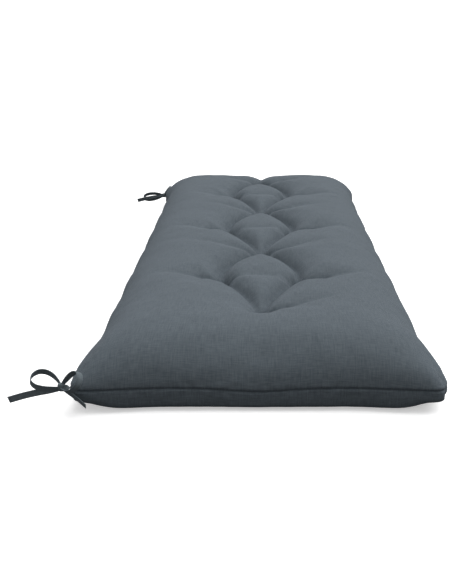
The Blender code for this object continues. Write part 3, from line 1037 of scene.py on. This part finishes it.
def tuft_thread_tree():
    sizes = {"Strands": ("Int", 4), "Strand Gap": ("Float", 0.0007), "Strand Length": ("Float", 0.0085)}
    more = {"Radius": ("Float", 0.00045), "Seed": ("Int", 7), "Thread": ("Material", None)}
    tree, given, out = new_tree("tuft_threads", {**sizes, **more})
    rack = tree.nodes.new("GeometryNodeMeshLine")
    step = tree.nodes.new("ShaderNodeCombineXYZ")
    first = tree.nodes.new("ShaderNodeCombineXYZ")
    count, gap = given.outputs["Strands"], given.outputs["Strand Gap"]
    link(tree, gap, step.inputs["Y"])
    half_rack = maths(tree, "MULTIPLY", maths(tree, "SUBTRACT", count, 1.0), -0.5)
    link(tree, maths(tree, "MULTIPLY", half_rack, gap), first.inputs["Y"])
    link(tree, count, rack.inputs["Count"])
    link(tree, step.outputs[0], rack.inputs["Offset"])
    link(tree, first.outputs[0], rack.inputs["Start Location"])
    bundle = tree.nodes.new("GeometryNodeInstanceOnPoints")
    link(tree, rack.outputs["Mesh"], bundle.inputs["Points"])
    link(tree, capsule(tree, given.outputs["Strand Length"], given.outputs["Radius"]), bundle.inputs["Instance"])
    chance = tree.nodes.new("FunctionNodeRandomValue")
    chance.data_type = "FLOAT_VECTOR"
    chance.inputs["Min"].default_value = (0, 0, -pi)
    chance.inputs["Max"].default_value = (0, 0, pi)
    link(tree, given.outputs["Seed"], chance.inputs["Seed"])
    place = tree.nodes.new("GeometryNodeInstanceOnPoints")
    link(tree, given.outputs["Geometry"], place.inputs["Points"])
    link(tree, bundle.outputs["Instances"], place.inputs["Instance"])
    link(tree, chance.outputs["Value"], place.inputs["Rotation"])
    return finish_tree(tree, place.outputs["Instances"], given, out)


def grown(name, base, tree):
    """The plain mesh that the tree makes from base, with its inputs set by identifier."""
    source = bpy.data.objects.new(f"{name}_base", base)
    scene.collection.objects.link(source)
    grow = source.modifiers.new(name, "NODES")
    grow.node_group = tree
    for socket in tree.interface.items_tree:
        if getattr(socket, "in_out", "") == "INPUT" and socket.name == "Thread":
            grow[socket.identifier] = THREAD
    graph = bpy.context.evaluated_depsgraph_get()
    mesh = bpy.data.meshes.new_from_object(source.evaluated_get(graph))
    bpy.data.objects.remove(source, do_unlink=True)
    mesh.shade_smooth()
    piece = bpy.data.objects.new(name, mesh)
    scene.collection.objects.link(piece)
    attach(piece, "root")
    print(name, "has", len(mesh.polygons), "faces")
    return piece


# %% Stitches along the ties
CLEAR_OF_KNOT = 9
STITCHES = running_stitch_tree()


def hem_paths(bow, paths):
    curve = bpy.data.curves.new(f"hem_{bow.name}", "CURVE")
    curve.dimensions = "3D"
    for hems in paths:
        for side in (0, 1):
            line = [pair[side] for pair in hems[CLEAR_OF_KNOT:]]
            spline = curve.splines.new("POLY")
            spline.points.add(len(line) - 1)
            for point, place in zip(spline.points, line):
                point.co = (*place, 1)
    return curve


for bow, (tie, length, paths) in zip(BOWS, TIES):
    stitches = grown(f"tie_stitches_{bow.name}", hem_paths(bow, paths), STITCHES)
    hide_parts(f"tie_{bow.name}")
    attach(tie, "root")

# %% Threads in the tufts
SUNK = 0.0002


def tuft_points(from_above):
    """The cushion's own surface at each tuft, top or underside."""
    graph = bpy.context.evaluated_depsgraph_get()
    solid = pad.evaluated_get(graph)
    found = []
    for x, y in TUFTS:
        start = Vector((x, y, 0.2 if from_above else -0.1))
        hit, place, _, _ = solid.ray_cast(start, Vector((0, 0, -1 if from_above else 1)))
        found.append(place + Vector((0, 0, SUNK if from_above else -SUNK)))
    return found


knots = bpy.data.meshes.new("tuft_places")
knots.from_pydata(tuft_points(True) + tuft_points(False), [], [])
tuft_threads = grown("tuft_threads", knots, tuft_thread_tree())

# %% [markdown]
# ## Floor and light
#
# A plain pale floor and one large soft light nearly overhead, a little to the right and behind, show the
# folds without hard shadows. The sky is bright above and dim at the horizon, so the side that faces us
# stays darker than the top, as it does under a studio's overhead softbox. The floor looks pale but throws
# little light back, as a floor does that is lit for the picture only.

# %% Floor, sun and sky
FLOOR_SIZE = 400.0
floor_mesh = bpy.data.meshes.new("floor")
floor_shape = bmesh.new()
bmesh.ops.create_grid(floor_shape, x_segments=1, y_segments=1, size=FLOOR_SIZE)
bmesh.ops.translate(floor_shape, verts=floor_shape.verts, vec=(0, 0, -0.0004))
floor_shape.to_mesh(floor_mesh)
floor_shape.free()
floor = bpy.data.objects.new("floor", floor_mesh)
scene.collection.objects.link(floor)
paper = bpy.data.materials.new("pale_paper")
paper.use_nodes = True
paper_shader = paper.node_tree.nodes["Principled BSDF"]
paper_shader.inputs["Roughness"].default_value = 0.95
direct = paper.node_tree.nodes.new("ShaderNodeLightPath")
shade = paper.node_tree.nodes.new("ShaderNodeMix")
shade.data_type = "RGBA"
shade.inputs[6].default_value = (0.10, 0.10, 0.10, 1)
shade.inputs[7].default_value = (0.95, 0.95, 0.95, 1)
link(paper.node_tree, direct.outputs["Is Camera Ray"], shade.inputs["Factor"])
link(paper.node_tree, shade.outputs[2], paper_shader.inputs["Base Color"])
paper_shader.inputs["Emission Color"].default_value = (1, 1, 1, 1)
glow_seen = maths(paper.node_tree, "MULTIPLY", direct.outputs["Is Camera Ray"], 0.45)
link(paper.node_tree, glow_seen, paper_shader.inputs["Emission Strength"])
floor_mesh.materials.append(paper)

softbox = bpy.data.lights.new("softbox", "SUN")
softbox.energy = 2.4
softbox.angle = radians(75)
softbox_object = bpy.data.objects.new("softbox", softbox)
softbox_object.rotation_euler = Vector((0.42, 0.35, 1.0)).to_track_quat("Z", "Y").to_euler()
scene.collection.objects.link(softbox_object)

world = bpy.data.worlds.new("studio")
scene.world = world
world.use_nodes = True
sky = world.node_tree
where = sky.nodes.new("ShaderNodeTexCoord")
direction = sky.nodes.new("ShaderNodeSeparateXYZ")
link(sky, where.outputs["Generated"], direction.inputs[0])
upwards = maths(sky, "MAXIMUM", direction.outputs["Z"], 0.0)
glow = maths(sky, "ADD", maths(sky, "MULTIPLY", upwards, 0.45), 0.24)
seen = sky.nodes.new("ShaderNodeLightPath")
strength = maths(sky, "MAXIMUM", glow, maths(sky, "MULTIPLY", seen.outputs["Is Camera Ray"], 1.2))
link(sky, strength, sky.nodes["Background"].inputs["Strength"])
sky.nodes["Background"].inputs["Color"].default_value = (1, 1, 1, 1)
scene.view_settings.view_transform = "Standard"
print("the floor is", FLOOR_SIZE, "m wide, and the light is soft over", 75, "degrees")
